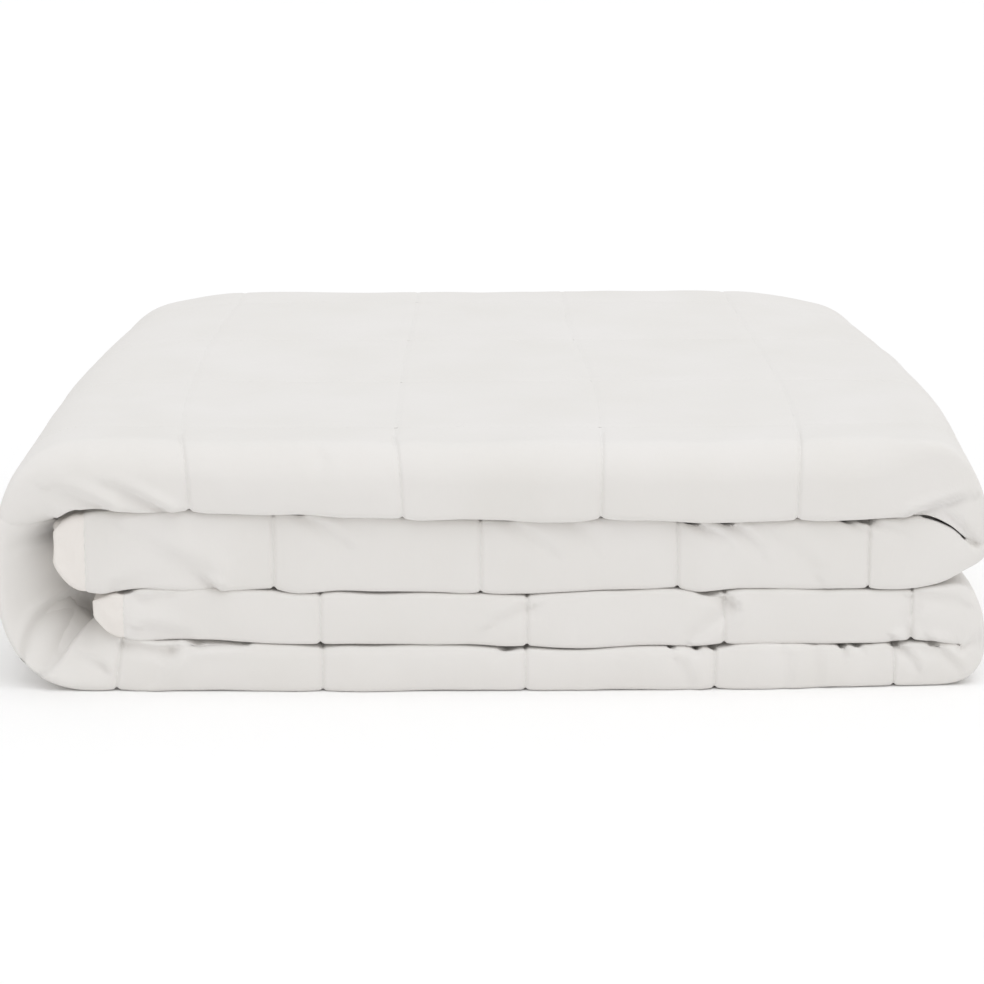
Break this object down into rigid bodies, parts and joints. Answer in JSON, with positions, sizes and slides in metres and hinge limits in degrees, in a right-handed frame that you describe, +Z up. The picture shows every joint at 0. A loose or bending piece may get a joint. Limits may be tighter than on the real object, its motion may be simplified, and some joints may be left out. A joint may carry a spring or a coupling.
{
  "type": "weighted blanket",
  "caption": "Weighted blanket in off-white cotton, quilted in squares, folded into a flat bundle with its hemmed ends tucked inside a big turn.",
  "frame": {"origin": "middle of the underside of the folded bundle", "axes": "+Z up; +X along the bundle, towards the two tight turns, with the big turn at -X; the smooth folded nose faces -Y and the side edges lie at +Y"},
  "size_m": [0.5071, 0.3845, 0.1307],
  "materials": {
    "cotton": "matt woven cotton, off-white"
  },
  "bodies": {
    "root": {"blanket": "cotton"}
  },
  "joints": []
}
